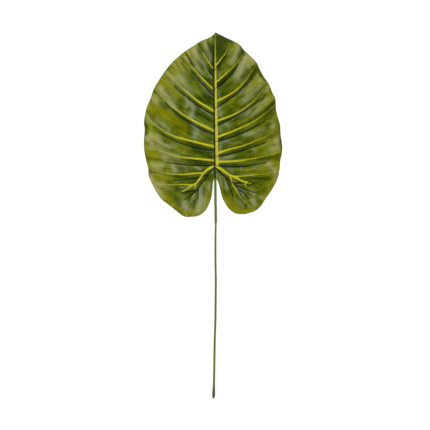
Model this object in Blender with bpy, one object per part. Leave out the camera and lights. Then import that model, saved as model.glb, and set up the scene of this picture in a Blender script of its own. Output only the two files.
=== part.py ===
# Artificial alocasia leaf: a pressed cloth blade on a moulded rib frame, plugged onto a stem.
# Metres, +Z up. The leaf lies face up on z = 0, its tip towards +Y and its stem towards -Y.
# The origin is under the middle of its outline. Points below are in millimetres.

import math

import bmesh
import bpy
import numpy as np

MM = 0.001
GAP = 0.4 * MM  # bond line between the cloth and the ribs under it
WELD = 0.01 * MM  # points nearer than this are one point

# Blade: upper face, as (x, y, height)
CLOTH = 0.9 * MM
CROWN = 0.045  # arch of each cross line, as a share of its length
QUILT = 0.10  # puff of each panel between two ribs, as a share of its width
WIDEST_PUFF = 34 * MM  # a panel wider than this is puffed no higher
PUFF_SPAN = 0.45  # nor is one wider than this share of the way across it, as at the lobe ends
EDGE_PUFF = 0.55  # how much of that puff is left at the margin, as its wave
PUFF_RISE = 0.25  # share of a cross line over which the puff grows out of the midrib
PUFF_POWER = 0.8  # under 1, the valleys at the ribs are narrower than the crests between them
CROSS_STEPS = 15
ROW_SPACING = 8 * MM

TIP = (4.8, 350, -1.5)
SINUS = (4.0, 71.4, 14.5)
MIDRIB = [(3.2, 338, 2), (1.1, 324, 6), (1.7, 272, 14.5), (2.3, 220, 19), (2.7, 144, 20),
          (2.9, 92.4, 16.5)]
FORK = MIDRIB[-1]

# Each side: its margin from the tip to the lobe end, the lobe rib from the fork, and the edge of
# the cleft from the sinus to the lobe end. A rib is its start, its end on the edge, its bow as a
# share of its length, and how far along that line the moulding reaches.
LEFT = {
    "margin": [TIP, (-0.8, 343.7, 1.5), (-10.3, 337.9, 2.5), (-23.7, 332.2, 3.5),
               (-41.3, 320.7, 5), (-58.1, 309.2, 5), (-77.6, 292.1, 4), (-92.1, 274.9, 3),
               (-103.4, 257.7, 4), (-113.5, 240.5, 4.5), (-119.1, 223.3, 5), (-126.5, 206.1, 4),
               (-130.5, 188.9, 2.5), (-132.1, 177.4, 2), (-130.5, 163.1, 3), (-132.1, 143, 3),
               (-131.7, 125.8, 0.5), (-128.8, 108.6, -1.5), (-124, 88.6, -0.5), (-122.7, 74.2, 1),
               (-115, 57, 1.5), (-105.5, 39.8, 2), (-95.9, 28.4, 2.5), (-85.2, 20.2, 2),
               (-73.6, 11.2, 1), (-62.3, 2.2, -1), (-54.7, -2.4, -2), (-47, -3.3, -2.5)],
    "lobe_rib": [FORK, (-15.5, 68.7, 13.5), (-30.8, 48.4, 9.5), (-39.4, 31.2, 6), (-44.1, 15, 3)],
    "cleft": [SINUS, (0.2, 64.7, 13.6), (-1.3, 50.4, 11.5), (-3.1, 36, 9), (-6.5, 24.6, 7),
              (-12.6, 11.8, 4.5), (-20.3, 3.9, 2), (-30.8, -1.6, -0.5), (-47, -3.3, -2.5)],
    "ribs": [((1.8, 261.5), (-32.5, 326.7), 0.05, 0.22),
             ((2.3, 225.7), (-62.7, 305.4), 0.026, 0.66),
             ((2.5, 187.8), (-95.2, 270.6), 0.052, 0.75),
             ((2.7, 152.5), (-113.5, 240.4), 0.075, 0.76),
             ((2.8, 123.5), (-132, 179.4), 0.084, 0.78),
             ((2.9, 94.5), (-129, 109.7), 0.038, 0.69),
             ((-8, 78.4), (-121.9, 71.9), 0.076, 0.6),
             ((-31.4, 47.2), (-106.5, 41.4), 0.025, 0.38),
             ((-33.4, 43.9), (-80.5, 16.6), 0.02, 0.52)],
    "cleft_ribs": [((-28.3, 52.3), (-30.8, -1.6), 0, 0.4)],
}
RIGHT = {
    "margin": [TIP, (15.9, 343.7, 1.5), (26.9, 337.9, 3), (39, 332.2, 4.5), (50.5, 325.3, 4.5),
               (58.5, 315.8, 2.5), (67.1, 307.5, 4), (82.2, 292.1, 4.5), (88.1, 280.6, 2.5),
               (95.4, 266.3, 4), (106.8, 249.5, 4), (112.6, 234.8, 4.5), (118.3, 223.3, 4.5),
               (119.2, 211.8, 3), (120.2, 200.4, 2.5), (124.6, 183.2, 3.5), (127.8, 170.8, 3.5),
               (128.8, 154.5, 1.5), (131.9, 131.6, 0.5), (130.9, 117.2, -1.5), (128, 102, -0.5),
               (126.9, 88.6, 1.5), (123.5, 71.4, 1), (116.8, 57, 1), (108.7, 43.7, 1.5),
               (98, 28.4, 2), (90.4, 16.9, 1), (79.1, 7.9, -1), (61.9, 2.4, -2.5)],
    "lobe_rib": [FORK, (20.3, 75.2, 14), (35.7, 63.2, 11), (47.6, 51.3, 8), (55.2, 35.1, 5),
                 (59.1, 20.7, 3)],
    "cleft": [SINUS, (8.8, 64.7, 13.6), (12.4, 53.2, 11.8), (16.8, 36, 9), (22, 24.6, 7),
              (29.8, 13.1, 4.5), (40.9, 4.5, 1.5), (50.5, 2.4, -1), (61.9, 2.4, -2.5)],
    "ribs": [((1.7, 273.5), (37.8, 332.8), 0.056, 0.52),
             ((2.1, 239.3), (59.2, 315.1), 0.092, 0.7),
             ((2.4, 203.3), (88.4, 280), 0.061, 0.8),
             ((2.6, 166.9), (110.8, 239.7), 0.053, 0.75),
             ((2.7, 138.8), (121.6, 194.3), 0.052, 0.8),
             ((2.8, 110.2), (129.1, 152), 0.036, 0.76),
             ((2.9, 94.5), (129.9, 111.5), 0.069, 0.76),
             ((37.4, 61.7), (120.6, 64), 0.015, 0.36),
             ((40.6, 59), (105.5, 39), 0.055, 0.62),
             ((48.7, 49.6), (81, 9), -0.08, 0.5)],
    "cleft_ribs": [((25.6, 71.4), (50.5, 2.4), 0, 0.5)],
}

# Rib frame: round moulding under the cloth, running out into the leaf stalk's sleeve
MIDRIB_START = 14 * MM  # the moulding begins this far below the blade's first cross line
MIDRIB_RADII = (0.7 * MM, 1.5 * MM)
RIB_RADII = (1.1 * MM, 0.5 * MM)
LOBE_RADII = (1.3 * MM, 0.9 * MM)
TWIG_RADII = (0.85 * MM, 0.5 * MM)
NECK_STEP = 5  # the neck from the fork to the sinus takes every fifth point of the cloth over it
SLEEVE_RADIUS = 2.45 * MM
SLEEVE_RINGS = 4
BORE_RADIUS = 1.6 * MM
BORE_DEPTH = 16 * MM

# Stem: coated wire with a turned-down peg at its top and a bulb at its foot
STEM_LINE = [(5.1, -14.6, 9.2), (4.5, -47, 8.4), (4.5, -85, 7.4), (5.1, -123.5, 6.5),
             (4.8, -162, 5.7), (4.3, -200, 5), (3.1, -238, 4.3), (2.4, -276, 3.7),
             (1.7, -315, 3.2), (0.8, -350, 2.95)]
PEG_RADIUS = 1.25 * MM
PEG_CLEARANCE = 0.5 * MM
SHOULDER_GAP = 0.3 * MM
SHOULDER_LENGTH = 0.3 * MM  # the stem steps out from the peg's radius to its own in this length
STEM_RING_SPACING = 14 * MM
STEM_TOP_RADIUS = 1.8 * MM
STEM_RADIUS = 2.05 * MM
STEM_TAPER = 110 * MM
BULB_RADIUS = 2.95 * MM
BULB_LENGTH = 34 * MM
BULB_ROUND = 8.5 * MM
BULB_RINGS = (0.2, 0.4, 0.58, 0.75, 0.83, 0.9, 0.955, 0.985, 1)  # as shares of its length
BULB_TIP_SHARE = 0.1  # radius of the last ring, as a share of the bulb's


class Route:
    """Smooth curves through a few points, joined end to end and read by the distance along."""

    def __init__(self, *lines):
        pieces = []
        for line in lines:
            p = np.array(line, float) * MM
            p = np.vstack([2 * p[0] - p[1], p, 2 * p[-1] - p[-2]])
            t = np.linspace(0, 1, 24, endpoint=False)[:, None]
            for a, b, c, d in zip(p, p[1:], p[2:], p[3:]):
                bend = (2 * a - 5 * b + 4 * c - d) * t**2 + (3 * b - a - 3 * c + d) * t**3
                pieces.append(b + ((c - a) * t + bend) / 2)
        self.points = np.vstack([*pieces, p[-2]])
        steps = np.linalg.norm(np.diff(self.points, axis=0), axis=1)
        self.run = np.concatenate([[0], np.cumsum(steps)])
        self.length = self.run[-1]

    def at(self, distance):
        return np.array([np.interp(distance, self.run, values) for values in self.points.T]).T

    def nearest(self, place):
        away = np.linalg.norm(self.points[:, :2] - np.array(place) * MM, axis=1)
        return self.run[away.argmin()]


class Patch:
    """Cross lines of the blade between an axis and an edge, led by the ribs between them."""

    def __init__(self, axis, edge, ribs, first):
        self.axis, self.edge, self.ribs = axis, edge, ribs
        self.starts = [first, *(axis.nearest(rib[0]) for rib in ribs), axis.length]
        self.ends = [0, *(edge.nearest(rib[1]) for rib in ribs), edge.length]
        self.bows = [0, *(rib[2] for rib in ribs), 0]
        self.across = math.copysign(1, ribs[0][1][0] - ribs[0][0][0])

    def plain_line(self, number):
        """The cross line at this rib number, or between two of them, with its panel flat."""
        numbers = np.arange(len(self.starts))
        a = self.axis.at(np.interp(number, numbers, self.starts))
        b = self.edge.at(np.interp(number, numbers, self.ends))
        v = np.linspace(0, 1, CROSS_STEPS + 1)[:, None]
        span = b - a
        towards_stem = np.array([span[1], -span[0], 0]) * self.across
        bow = np.interp(number, numbers, self.bows)
        line = a + span * v + towards_stem * bow * 4 * v * (1 - v)
        line[:, 2] += CROWN * np.linalg.norm(span) * np.sin(math.pi * v[:, 0])
        return line

    def line(self, start):
        """The upper face along the cross line that leaves the axis at this distance."""
        number = np.interp(start, self.starts, np.arange(len(self.starts)))
        rib = min(int(number), len(self.starts) - 2)
        line = self.plain_line(number)
        width = np.linalg.norm(self.plain_line(rib + 1) - self.plain_line(rib), axis=1)
        v = np.linspace(0, 1, CROSS_STEPS + 1)
        puff = np.sin(math.pi / 2 * np.minimum(v / PUFF_RISE, 1)) * (1 - (1 - EDGE_PUFF) * v**2)
        narrow = PUFF_SPAN * np.linalg.norm(line[-1] - line[0])
        rise = QUILT * np.minimum(np.minimum(width, WIDEST_PUFF), narrow) * puff
        line[:, 2] += rise * abs(math.sin(math.pi * (number - rib))) ** PUFF_POWER
        line[:, 2] = np.maximum(line[:, 2], CLOTH)
        return line


def spaced(stops, spacing):
    """Every stop, and even steps of about this spacing between them."""
    stops = sorted(stops)
    steps = [np.linspace(a, b, math.ceil((b - a) / spacing), endpoint=False)
             for a, b in zip(stops, stops[1:]) if b - a > WELD]
    return np.append(np.concatenate(steps), stops[-1])


def material(name, colour, roughness):
    made = bpy.data.materials.new(name)
    made.use_nodes = True
    shader = made.node_tree.nodes["Principled BSDF"]
    shader.inputs["Base Color"].default_value = (*colour, 1)
    shader.inputs["Roughness"].default_value = roughness
    return made


def add_object(name, mesh, finish, collection):
    mesh.materials.clear()
    mesh.materials.append(finish)
    mesh.shade_smooth()
    mesh.set_sharp_from_angle(angle=math.radians(40))
    obj = bpy.data.objects.new(name, mesh)
    collection.objects.link(obj)
    return obj


def new_collection(name):
    made = bpy.data.collections.new(name)
    bpy.context.scene.collection.children.link(made)
    return made


def tube_mesh(name, points, radii, resolution):
    """A closed round tube through the points, as a mesh."""
    curve = bpy.data.curves.new(name, "CURVE")
    curve.dimensions = "3D"
    curve.twist_mode = "Z_UP"
    curve.bevel_depth = 1
    curve.bevel_resolution = resolution
    curve.use_fill_caps = True
    spline = curve.splines.new("POLY")
    spline.points.add(len(points) - 1)
    for control, point, radius in zip(spline.points, points, radii):
        control.co = (*point, 1)
        control.radius = radius
    guide = bpy.data.objects.new(name, curve)
    bpy.context.scene.collection.objects.link(guide)
    graph = bpy.context.evaluated_depsgraph_get()
    mesh = bpy.data.meshes.new_from_object(guide.evaluated_get(graph))
    bpy.data.objects.remove(guide)
    bm = bmesh.new()
    bm.from_mesh(mesh)
    bmesh.ops.remove_doubles(bm, verts=bm.verts[:], dist=WELD)
    bmesh.ops.recalc_face_normals(bm, faces=bm.faces[:])
    bm.to_mesh(mesh)
    bm.free()
    return mesh


def build_blade(sheets, collection):
    """Patches of cross lines sewn into one sheet, then given the cloth's thickness."""
    bm = bmesh.new()
    for patch, starts in sheets:
        lines = [patch.line(start) for start in starts]
        grid = bmesh.ops.create_grid(
            bm, x_segments=CROSS_STEPS, y_segments=len(lines) - 1, size=0.5)
        for vert in grid["verts"]:
            row = round((vert.co.y + 0.5) * (len(lines) - 1))
            vert.co = lines[row][round((vert.co.x + 0.5) * CROSS_STEPS)]
    bmesh.ops.remove_doubles(bm, verts=bm.verts[:], dist=WELD)
    bmesh.ops.recalc_face_normals(bm, faces=bm.faces[:])
    bmesh.ops.triangulate(bm, faces=bm.faces[:], quad_method="SHORT_EDGE")
    under = bmesh.ops.extrude_face_region(bm, geom=bm.faces[:], use_keep_orig=True)
    moved = [part for part in under["geom"] if isinstance(part, bmesh.types.BMVert)]
    bmesh.ops.translate(bm, verts=moved, vec=(0, 0, -CLOTH))
    bmesh.ops.recalc_face_normals(bm, faces=bm.faces[:])
    mesh = bpy.data.meshes.new("blade")
    bm.to_mesh(mesh)
    bm.free()
    add_object("blade", mesh, material("printed_leaf_cloth", (0.12, 0.15, 0.02), 0.5), collection)


def under_cloth(line, radii):
    """The middle of a rib that follows this line of the upper face from below."""
    return line - np.array([0, 0, 1]) * (CLOTH + GAP + np.array(radii)[:, None])


def rib_tubes(side, fork):
    """Each side rib's middle line and radii, the lobe rib first."""
    outer = side[0]
    lobe_stops = [fork, *(start for start in outer.starts[1:-1] if start > fork)]
    lobe = outer.axis.at(spaced(lobe_stops, ROW_SPACING))
    yield lobe, np.linspace(*LOBE_RADII, len(lobe))
    for patch in side:
        for start, rib in zip(patch.starts[1:], patch.ribs):
            line = patch.line(start)[:round(rib[3] * CROSS_STEPS) + 1]
            yield line, np.linspace(*(TWIG_RADII if start > fork else RIB_RADII), len(line))


def build_rib_frame(sides, midrib_starts, sleeve_end, collection):
    """Midrib and sleeve as one tube, with the side ribs sunk into it, and the sleeve bored."""
    finish = material("moulded_rib_plastic", (0.03, 0.06, 0.02), 0.45)
    outer, cleft = sides[0]
    midrib = outer.axis.at(midrib_starts[midrib_starts >= MIDRIB_START])
    midrib_radii = np.linspace(*MIDRIB_RADII, len(midrib))
    neck = cleft.line(cleft.starts[0])[NECK_STEP::NECK_STEP]
    neck_radii = np.linspace(MIDRIB_RADII[1], SLEEVE_RADIUS, len(neck) + 1)[1:]
    neck = under_cloth(neck, neck_radii)
    sleeve = np.linspace(neck[-1], sleeve_end, SLEEVE_RINGS + 1)[1:]
    points = np.vstack([under_cloth(midrib, midrib_radii), neck, sleeve])
    radii = [*midrib_radii, *neck_radii, *[SLEEVE_RADIUS] * len(sleeve)]
    frame = add_object("rib_frame", tube_mesh("rib_frame", points, radii, 4), finish, collection)

    branches = new_collection("branches")
    fork = midrib_starts[-1]
    for side in sides:
        for line, line_radii in rib_tubes(side, fork):
            mesh = tube_mesh("branch", under_cloth(line, line_radii), line_radii, 1)
            add_object("branch", mesh, finish, branches)
    join = frame.modifiers.new("join", "BOOLEAN")
    join.operation = "UNION"
    join.operand_type = "COLLECTION"
    join.collection = branches

    down = points[-1] - points[-2]
    down /= np.linalg.norm(down)
    bore_line = [points[-1] - down * BORE_DEPTH, points[-1] + down * MM]
    cutters = new_collection("cutters")
    bore = add_object("bore", tube_mesh("bore", bore_line, [BORE_RADIUS] * 2, 4), finish, cutters)
    cut = frame.modifiers.new("cut", "BOOLEAN")
    cut.operation = "DIFFERENCE"
    cut.object = bore

    graph = bpy.context.evaluated_depsgraph_get()
    joined = bpy.data.meshes.new_from_object(frame.evaluated_get(graph))
    frame.modifiers.clear()
    frame.data = joined
    for helpers in (branches, cutters):
        for helper in list(helpers.objects):
            bpy.data.objects.remove(helper)
        bpy.data.collections.remove(helpers)
    return down


def stem_radius(from_top, to_foot):
    body = np.interp(from_top, (0, STEM_TAPER), (STEM_TOP_RADIUS, STEM_RADIUS))
    if to_foot < BULB_ROUND:
        round_share = math.sqrt(1 - (1 - to_foot / BULB_ROUND) ** 2)
        return BULB_RADIUS * max(round_share, BULB_TIP_SHARE)
    swell = max(1 - (to_foot - BULB_ROUND) / (BULB_LENGTH - BULB_ROUND), 0)
    return body + (BULB_RADIUS - body) * swell ** 1.5


def build_stem(stem_line, down, collection):
    """One turned tube: the peg in the sleeve, the shoulder, the long stem and the bulb."""
    top = stem_line.at(0)
    peg_end = top - down * (BORE_DEPTH - PEG_CLEARANCE)
    peg_base = top + down * SHOULDER_GAP
    bulb_start = stem_line.length - BULB_LENGTH
    runs = [*spaced([SHOULDER_GAP + SHOULDER_LENGTH, bulb_start], STEM_RING_SPACING),
            *(bulb_start + np.array(BULB_RINGS) * BULB_LENGTH)]
    points = [peg_end, peg_base, *stem_line.at(runs)]
    radii = [PEG_RADIUS, PEG_RADIUS, *(stem_radius(run, stem_line.length - run) for run in runs)]
    add_object("stem", tube_mesh("stem", points, radii, 3),
               material("coated_stem_plastic", (0.14, 0.23, 0.05), 0.4), collection)


for old in list(bpy.data.objects):
    bpy.data.objects.remove(old)
leaf = new_collection("alocasia_leaf")

fork_run = Route(MIDRIB).length
halves = []
for shape in (LEFT, RIGHT):
    axis_line = Route(MIDRIB, shape["lobe_rib"])
    halves.append((Patch(axis_line, Route(shape["margin"]), shape["ribs"], 0),
                   Patch(axis_line, Route(shape["cleft"]), shape["cleft_ribs"], fork_run)))
midrib_stops = [start for outer, cleft in halves for start in outer.starts if start < fork_run]
midrib_rows = spaced([*midrib_stops, fork_run], ROW_SPACING)
sheet_rows = []
for outer, cleft in halves:
    lobe_rows = spaced([s for s in outer.starts + cleft.starts if s >= fork_run], ROW_SPACING)
    sheet_rows += [(outer, [*midrib_rows, *lobe_rows[1:]]), (cleft, lobe_rows)]

build_blade(sheet_rows, leaf)
stem_route = Route(STEM_LINE)
stalk_direction = build_rib_frame(halves, midrib_rows, stem_route.at(0), leaf)
build_stem(stem_route, stalk_direction, leaf)
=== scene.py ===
import math

import bmesh
import bpy
import numpy as np
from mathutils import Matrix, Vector, noise


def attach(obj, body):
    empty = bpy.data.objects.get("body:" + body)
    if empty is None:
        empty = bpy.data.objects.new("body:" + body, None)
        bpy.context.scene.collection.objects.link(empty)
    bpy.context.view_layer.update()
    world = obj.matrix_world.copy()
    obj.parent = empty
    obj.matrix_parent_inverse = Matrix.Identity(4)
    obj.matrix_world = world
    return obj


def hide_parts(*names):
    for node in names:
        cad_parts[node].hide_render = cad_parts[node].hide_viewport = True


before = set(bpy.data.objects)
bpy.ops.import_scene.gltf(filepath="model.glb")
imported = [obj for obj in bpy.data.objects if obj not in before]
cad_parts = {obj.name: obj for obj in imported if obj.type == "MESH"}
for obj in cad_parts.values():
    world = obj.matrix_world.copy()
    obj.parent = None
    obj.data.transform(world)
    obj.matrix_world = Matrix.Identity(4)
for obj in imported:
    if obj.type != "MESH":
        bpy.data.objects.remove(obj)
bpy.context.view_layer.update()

# The blade is one sheet of polyester cloth, printed on its face with the leaf's colours and
# yellow veins. It is heat pressed over a mould, which puffs a panel between each two ribs, and
# is bonded to the moulded ribs under it. Points are (x, y, height) in millimetres, face up.
MM = 0.001
SHEET = 0.6 * MM
CROWN = 0.045  # arch of each cross line, as a share of its length
QUILT = 0.10  # puff of each panel between two ribs, as a share of its width
WIDEST_PUFF = 34 * MM  # a panel wider than this is puffed no higher
PUFF_SPAN = 0.45  # nor is one wider than this share of the way across it, as at the lobe ends
EDGE_PUFF = 0.55  # how much of that puff is left at the margin, as its wave
PUFF_RISE = 0.25  # share of a cross line over which the puff grows out of the midrib
PUFF_POWER = 0.8  # under 1, the valleys at the ribs are narrower than the crests between them
ROW_SPACING = 1.25 * MM
LINE_STEPS = 68
GROOVE_DEPTH = 0.7 * MM
GROOVE_WIDTH = 1.7 * MM
GROOVE_RUNOUT = 0.12  # how far a groove goes on past its rib, as a share of the cross line
GROOVE_FADE = 0.2  # share of the cross line over which it fades out
RIPPLE = 0.8 * MM
RIPPLE_LENGTH = 24 * MM
RIPPLE_WIDTH = 11 * MM

TIP = (4.8, 350, -1.5)
SINUS = (4.0, 71.4, 14.5)
MIDRIB = [(3.2, 338, 2), (1.1, 324, 6), (1.7, 272, 14.5), (2.3, 220, 19), (2.7, 144, 20),
          (2.9, 92.4, 16.5)]
FORK = MIDRIB[-1]

# Each half: its margin from the tip to the lobe end, the lobe rib from the fork, and the edge of
# the cleft from the sinus to the lobe end. A rib is its start, its end on the edge, its bow as a
# share of its length, and how far along that line the moulding reaches. The edges' x and y, and
# most ribs' starts, ends and bows, are what measuring scripts found on the photo. The heights and
# reaches are chosen.
LEFT = {
    "margin": [TIP, (-0.8, 343.7, 1.5), (-10.3, 337.9, 2.5), (-23.7, 332.2, 3.5),
               (-41.3, 320.7, 5), (-58.1, 309.2, 5), (-77.6, 292.1, 4), (-92.1, 274.9, 3),
               (-103.4, 257.7, 4), (-113.5, 240.5, 4.5), (-119.1, 223.3, 5), (-126.5, 206.1, 4),
               (-130.5, 188.9, 2.5), (-132.1, 177.4, 2), (-130.5, 163.1, 3), (-132.1, 143, 3),
               (-131.7, 125.8, 0.5), (-128.8, 108.6, -1.5), (-124, 88.6, -0.5), (-122.7, 74.2, 1),
               (-115, 57, 1.5), (-105.5, 39.8, 2), (-95.9, 28.4, 2.5), (-85.2, 20.2, 2),
               (-73.6, 11.2, 1), (-62.3, 2.2, -1), (-54.7, -2.4, -2), (-47, -3.3, -2.5)],
    "lobe_rib": [FORK, (-15.5, 68.7, 13.5), (-30.8, 48.4, 9.5), (-39.4, 31.2, 6), (-44.1, 15, 3)],
    "cleft": [SINUS, (0.2, 64.7, 13.6), (-1.3, 50.4, 11.5), (-3.1, 36, 9), (-6.5, 24.6, 7),
              (-12.6, 11.8, 4.5), (-20.3, 3.9, 2), (-30.8, -1.6, -0.5), (-47, -3.3, -2.5)],
    "ribs": [((1.8, 261.5), (-32.5, 326.7), 0.05, 0.22),
             ((2.3, 225.7), (-62.7, 305.4), 0.026, 0.66),
             ((2.5, 187.8), (-95.2, 270.6), 0.052, 0.75),
             ((2.7, 152.5), (-113.5, 240.4), 0.075, 0.76),
             ((2.8, 123.5), (-132, 179.4), 0.084, 0.78),
             ((2.9, 94.5), (-129, 109.7), 0.038, 0.69),
             ((-8, 78.4), (-121.9, 71.9), 0.076, 0.6),
             ((-31.4, 47.2), (-106.5, 41.4), 0.025, 0.38),
             ((-33.4, 43.9), (-80.5, 16.6), 0.02, 0.52)],
    "cleft_ribs": [((-28.3, 52.3), (-30.8, -1.6), 0, 0.4)],
    "lobe_reach": 0.72,
}
RIGHT = {
    "margin": [TIP, (15.9, 343.7, 1.5), (26.9, 337.9, 3), (39, 332.2, 4.5), (50.5, 325.3, 4.5),
               (58.5, 315.8, 2.5), (67.1, 307.5, 4), (82.2, 292.1, 4.5), (88.1, 280.6, 2.5),
               (95.4, 266.3, 4), (106.8, 249.5, 4), (112.6, 234.8, 4.5), (118.3, 223.3, 4.5),
               (119.2, 211.8, 3), (120.2, 200.4, 2.5), (124.6, 183.2, 3.5), (127.8, 170.8, 3.5),
               (128.8, 154.5, 1.5), (131.9, 131.6, 0.5), (130.9, 117.2, -1.5), (128, 102, -0.5),
               (126.9, 88.6, 1.5), (123.5, 71.4, 1), (116.8, 57, 1), (108.7, 43.7, 1.5),
               (98, 28.4, 2), (90.4, 16.9, 1), (79.1, 7.9, -1), (61.9, 2.4, -2.5)],
    "lobe_rib": [FORK, (20.3, 75.2, 14), (35.7, 63.2, 11), (47.6, 51.3, 8), (55.2, 35.1, 5),
                 (59.1, 20.7, 3)],
    "cleft": [SINUS, (8.8, 64.7, 13.6), (12.4, 53.2, 11.8), (16.8, 36, 9), (22, 24.6, 7),
              (29.8, 13.1, 4.5), (40.9, 4.5, 1.5), (50.5, 2.4, -1), (61.9, 2.4, -2.5)],
    "ribs": [((1.7, 273.5), (37.8, 332.8), 0.056, 0.52),
             ((2.1, 239.3), (59.2, 315.1), 0.092, 0.7),
             ((2.4, 203.3), (88.4, 280), 0.061, 0.8),
             ((2.6, 166.9), (110.8, 239.7), 0.053, 0.75),
             ((2.7, 138.8), (121.6, 194.3), 0.052, 0.8),
             ((2.8, 110.2), (129.1, 152), 0.036, 0.76),
             ((2.9, 94.5), (129.9, 111.5), 0.069, 0.76),
             ((37.4, 61.7), (120.6, 64), 0.015, 0.36),
             ((40.6, 59), (105.5, 39), 0.055, 0.62),
             ((48.7, 49.6), (81, 9), -0.08, 0.5)],
    "cleft_ribs": [((25.6, 71.4), (50.5, 2.4), 0, 0.5)],
    "lobe_reach": 0.62,
}

# Printed yellow veins, each with its width where it starts and where it ends, how dull it ends,
# and its line from the midrib or from a wider vein outwards. The points were read by eye, and
# many were then moved to where a measuring script found the line.
YELLOW_VEINS = [
    (2, 0.9, 0.9, [(-1.3, 279.6), (-8.6, 291), (-15.7, 302), (-21.8, 311), (-28.6, 322)]),
    (2.5, 1.8, 1.2, [(-1.6, 240.8), (-13, 252), (-22.8, 262), (-33.7, 273.6), (-39.8, 281.5),
                     (-46.6, 290.7), (-55.2, 303)]),
    (3.4, 2.6, 1.3, [(0.1, 198), (-11.9, 205.8), (-26.3, 214.5), (-46.5, 230.7), (-62.9, 246.2),
                     (-73.1, 257.5), (-87.7, 273)]),
    (3.8, 2.4, 1.2, [(0.4, 160.7), (-29.6, 175), (-56.7, 190.8), (-77.2, 206.6), (-89.7, 218.9),
                     (-102.8, 232.4), (-110, 242.5)]),
    (4.2, 2, 1.1, [(1.5, 130.6), (-34.2, 139), (-64.9, 147), (-79.7, 152.5), (-92.2, 158.8),
                   (-112.5, 174), (-128, 187.3)]),
    (4, 1.6, 1, [(1.4, 104), (-26.9, 107), (-54, 109.6), (-71, 112.6), (-91, 120),
                 (-107.4, 124.4), (-128, 129)]),
    (4.6, 3, 0, [(-0.6, 93), (-10.9, 86.5), (-18.7, 79.1), (-25.5, 69), (-32.7, 60.4)]),
    (2.6, 2.2, 1.3, [(-19.2, 80.5), (-36.4, 79.5), (-51.6, 77.7), (-67, 78.2), (-86, 79.7),
                     (-104.8, 83.7), (-119.6, 87)]),
    (2.4, 1.2, 1.2, [(-33, 61), (-38, 58), (-55.6, 58.6), (-81, 58.8), (-103.4, 57.9)]),
    (2.8, 1.8, 0.2, [(-33.5, 60), (-40.3, 56.8), (-47.4, 51), (-59.2, 45.1)]),
    (2.4, 1.6, 0.2, [(-33, 60.5), (-33.8, 56), (-34, 51.5)]),
    (1.5, 1.4, 1.3, [(-35, 41.3), (-39.6, 33.6), (-42.6, 25.8), (-47.5, 16.7)]),
    (2.4, 0.9, 0.6, [(5.1, 285), (11.6, 292.5), (16.5, 299), (21.4, 305), (25.4, 313),
                   (31.9, 329.4)]),
    (2.7, 1.2, 0.6, [(8, 254), (15.7, 260.8), (27, 271.3), (36.7, 280.6), (42.7, 287.2),
                   (49.8, 296.7), (57.5, 307.6)]),
    (3.8, 1.3, 0.4, [(9, 217.2), (29, 227.4), (44.6, 238), (54.6, 248), (62.6, 257),
                     (69.5, 268), (83.5, 287.6)]),
    (3.8, 1.3, 0.6, [(10.4, 180), (34, 188.8), (53.2, 198.8), (67, 208.7), (78.3, 218.4),
                     (94.2, 238), (104.4, 250.7)]),
    (3.8, 1.3, 0.4, [(10.4, 149.2), (33.8, 158), (54.6, 167), (76.8, 178.4), (94, 190),
                     (106, 199.8), (118.6, 211.8)]),
    (3.8, 1.4, 0.6, [(10.7, 118.6), (33.3, 125.8), (53.9, 130.8), (72.7, 137.8), (88.7, 144.7),
                     (102, 151), (125.6, 170.3)]),
    (4, 1.6, 0.4, [(8, 102), (25, 102), (51, 103.8), (78, 108.4), (94, 111.7), (109, 115),
                   (128, 121)]),
    (4.8, 3.2, 0, [(6.3, 93.2), (14.8, 88), (22.8, 82.6), (30.4, 76.9), (39.5, 73.6), (48, 69),
                   (57, 64.3), (65, 62.6)]),
    (1.6, 1, 1, [(69, 61.6), (75.7, 59), (82.5, 58), (89, 55.8), (101, 51.6)]),
    (2.4, 1.1, 0.5, [(37.2, 73.7), (52.3, 74.4), (66, 75.6), (82.5, 77.4), (95.6, 77.6),
                   (116.5, 75.3)]),
    (2.6, 2, 0.1, [(32.7, 74.2), (34.2, 68.3), (35.4, 64.5)]),
    (2.2, 1.3, 1, [(37, 60), (38, 57.6), (46.2, 43), (56, 30.3), (66.2, 20.8), (76, 14)]),
    (1.5, 0.8, 0.6, [(60, 58.6), (62.8, 55), (68, 50.5)]),
]
YELLOW_MIDRIB = (1.3, 5.2, [(4.6, 347), (4.1, 335), (4, 320), (4.2, 300), (4.6, 275),
                            (4.9, 245), (5.6, 210), (6.4, 170), (6.8, 140), (7.5, 110), (8, 97)])


class Route:
    """Smooth curves through a few points, joined end to end and read by the distance along."""

    def __init__(self, *lines):
        pieces = []
        for line in lines:
            p = np.array(line, float) * MM
            p = np.vstack([2 * p[0] - p[1], p, 2 * p[-1] - p[-2]])
            t = np.linspace(0, 1, 24, endpoint=False)[:, None]
            for a, b, c, d in zip(p, p[1:], p[2:], p[3:]):
                bend = (2 * a - 5 * b + 4 * c - d) * t**2 + (3 * b - a - 3 * c + d) * t**3
                pieces.append(b + ((c - a) * t + bend) / 2)
        self.points = np.vstack([*pieces, p[-2]])
        steps = np.linalg.norm(np.diff(self.points, axis=0), axis=1)
        self.run = np.concatenate([[0], np.cumsum(steps)])
        self.length = self.run[-1]

    def at(self, distance):
        return np.array([np.interp(distance, self.run, values) for values in self.points.T]).T

    def nearest(self, place):
        away = np.linalg.norm(self.points[:, :2] - np.array(place) * MM, axis=1)
        return self.run[away.argmin()]


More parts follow.
